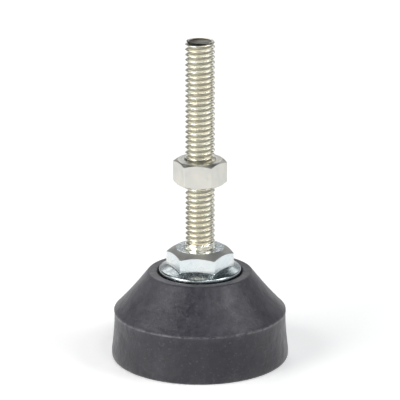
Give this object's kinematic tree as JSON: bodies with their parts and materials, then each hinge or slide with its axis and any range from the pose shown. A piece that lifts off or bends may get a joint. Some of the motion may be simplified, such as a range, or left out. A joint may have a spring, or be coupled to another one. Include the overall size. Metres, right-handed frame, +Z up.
{
  "type": "furniture leveling foot",
  "caption": "Swivelling leveling foot: a rubber bell pad moulded on a steel core, with a threaded stud, flanged hex collar and leg nut that raise or lower a furniture leg.",
  "frame": {"origin": "centre of the floor face, on the stud's axis", "axes": "+Z up along the stud; the hexagons' flats face +Y and -Y"},
  "size_m": [0.048, 0.048, 0.0877],
  "materials": {
    "rubber": "moulded, satin, charcoal",
    "core_steel": "turned, oiled",
    "washer_acetal": "natural acetal",
    "washer_zinc": "bright zinc plated",
    "stud_zinc": "rolled thread, zinc plated, slightly warm",
    "collar_zinc": "bright zinc plated, blue passivated",
    "ring_spring_steel": "phosphated spring steel",
    "nut_zinc": "zinc plated"
  },
  "bodies": {
    "foot": {"rubber_foot": "rubber", "steel_core": "core_steel", "thrust_washer": "washer_acetal", "retaining_washer": "washer_zinc"},
    "stud": {"threaded_stud": "stud_zinc", "hex_collar": "collar_zinc", "retaining_ring": "ring_spring_steel"},
    "nut": {"leg_nut": "nut_zinc"}
  },
  "joints": [
    {"name": "stud_turn", "type": "hinge", "parent": "foot", "child": "stud", "pos_m": [0, 0, 0.0147], "axis": [0, 0, -1], "range_deg": [-3960, 7560]},
    {"name": "leg_raise", "type": "slide", "parent": "foot", "child": "nut", "axis": [0, 0, 1], "range_m": [-0.01552, 0.02963]}
  ],
  "couplings": [
    {"joint": "leg_raise", "follows": "stud_turn", "m_per_rad": 0.00022458}
  ]
}
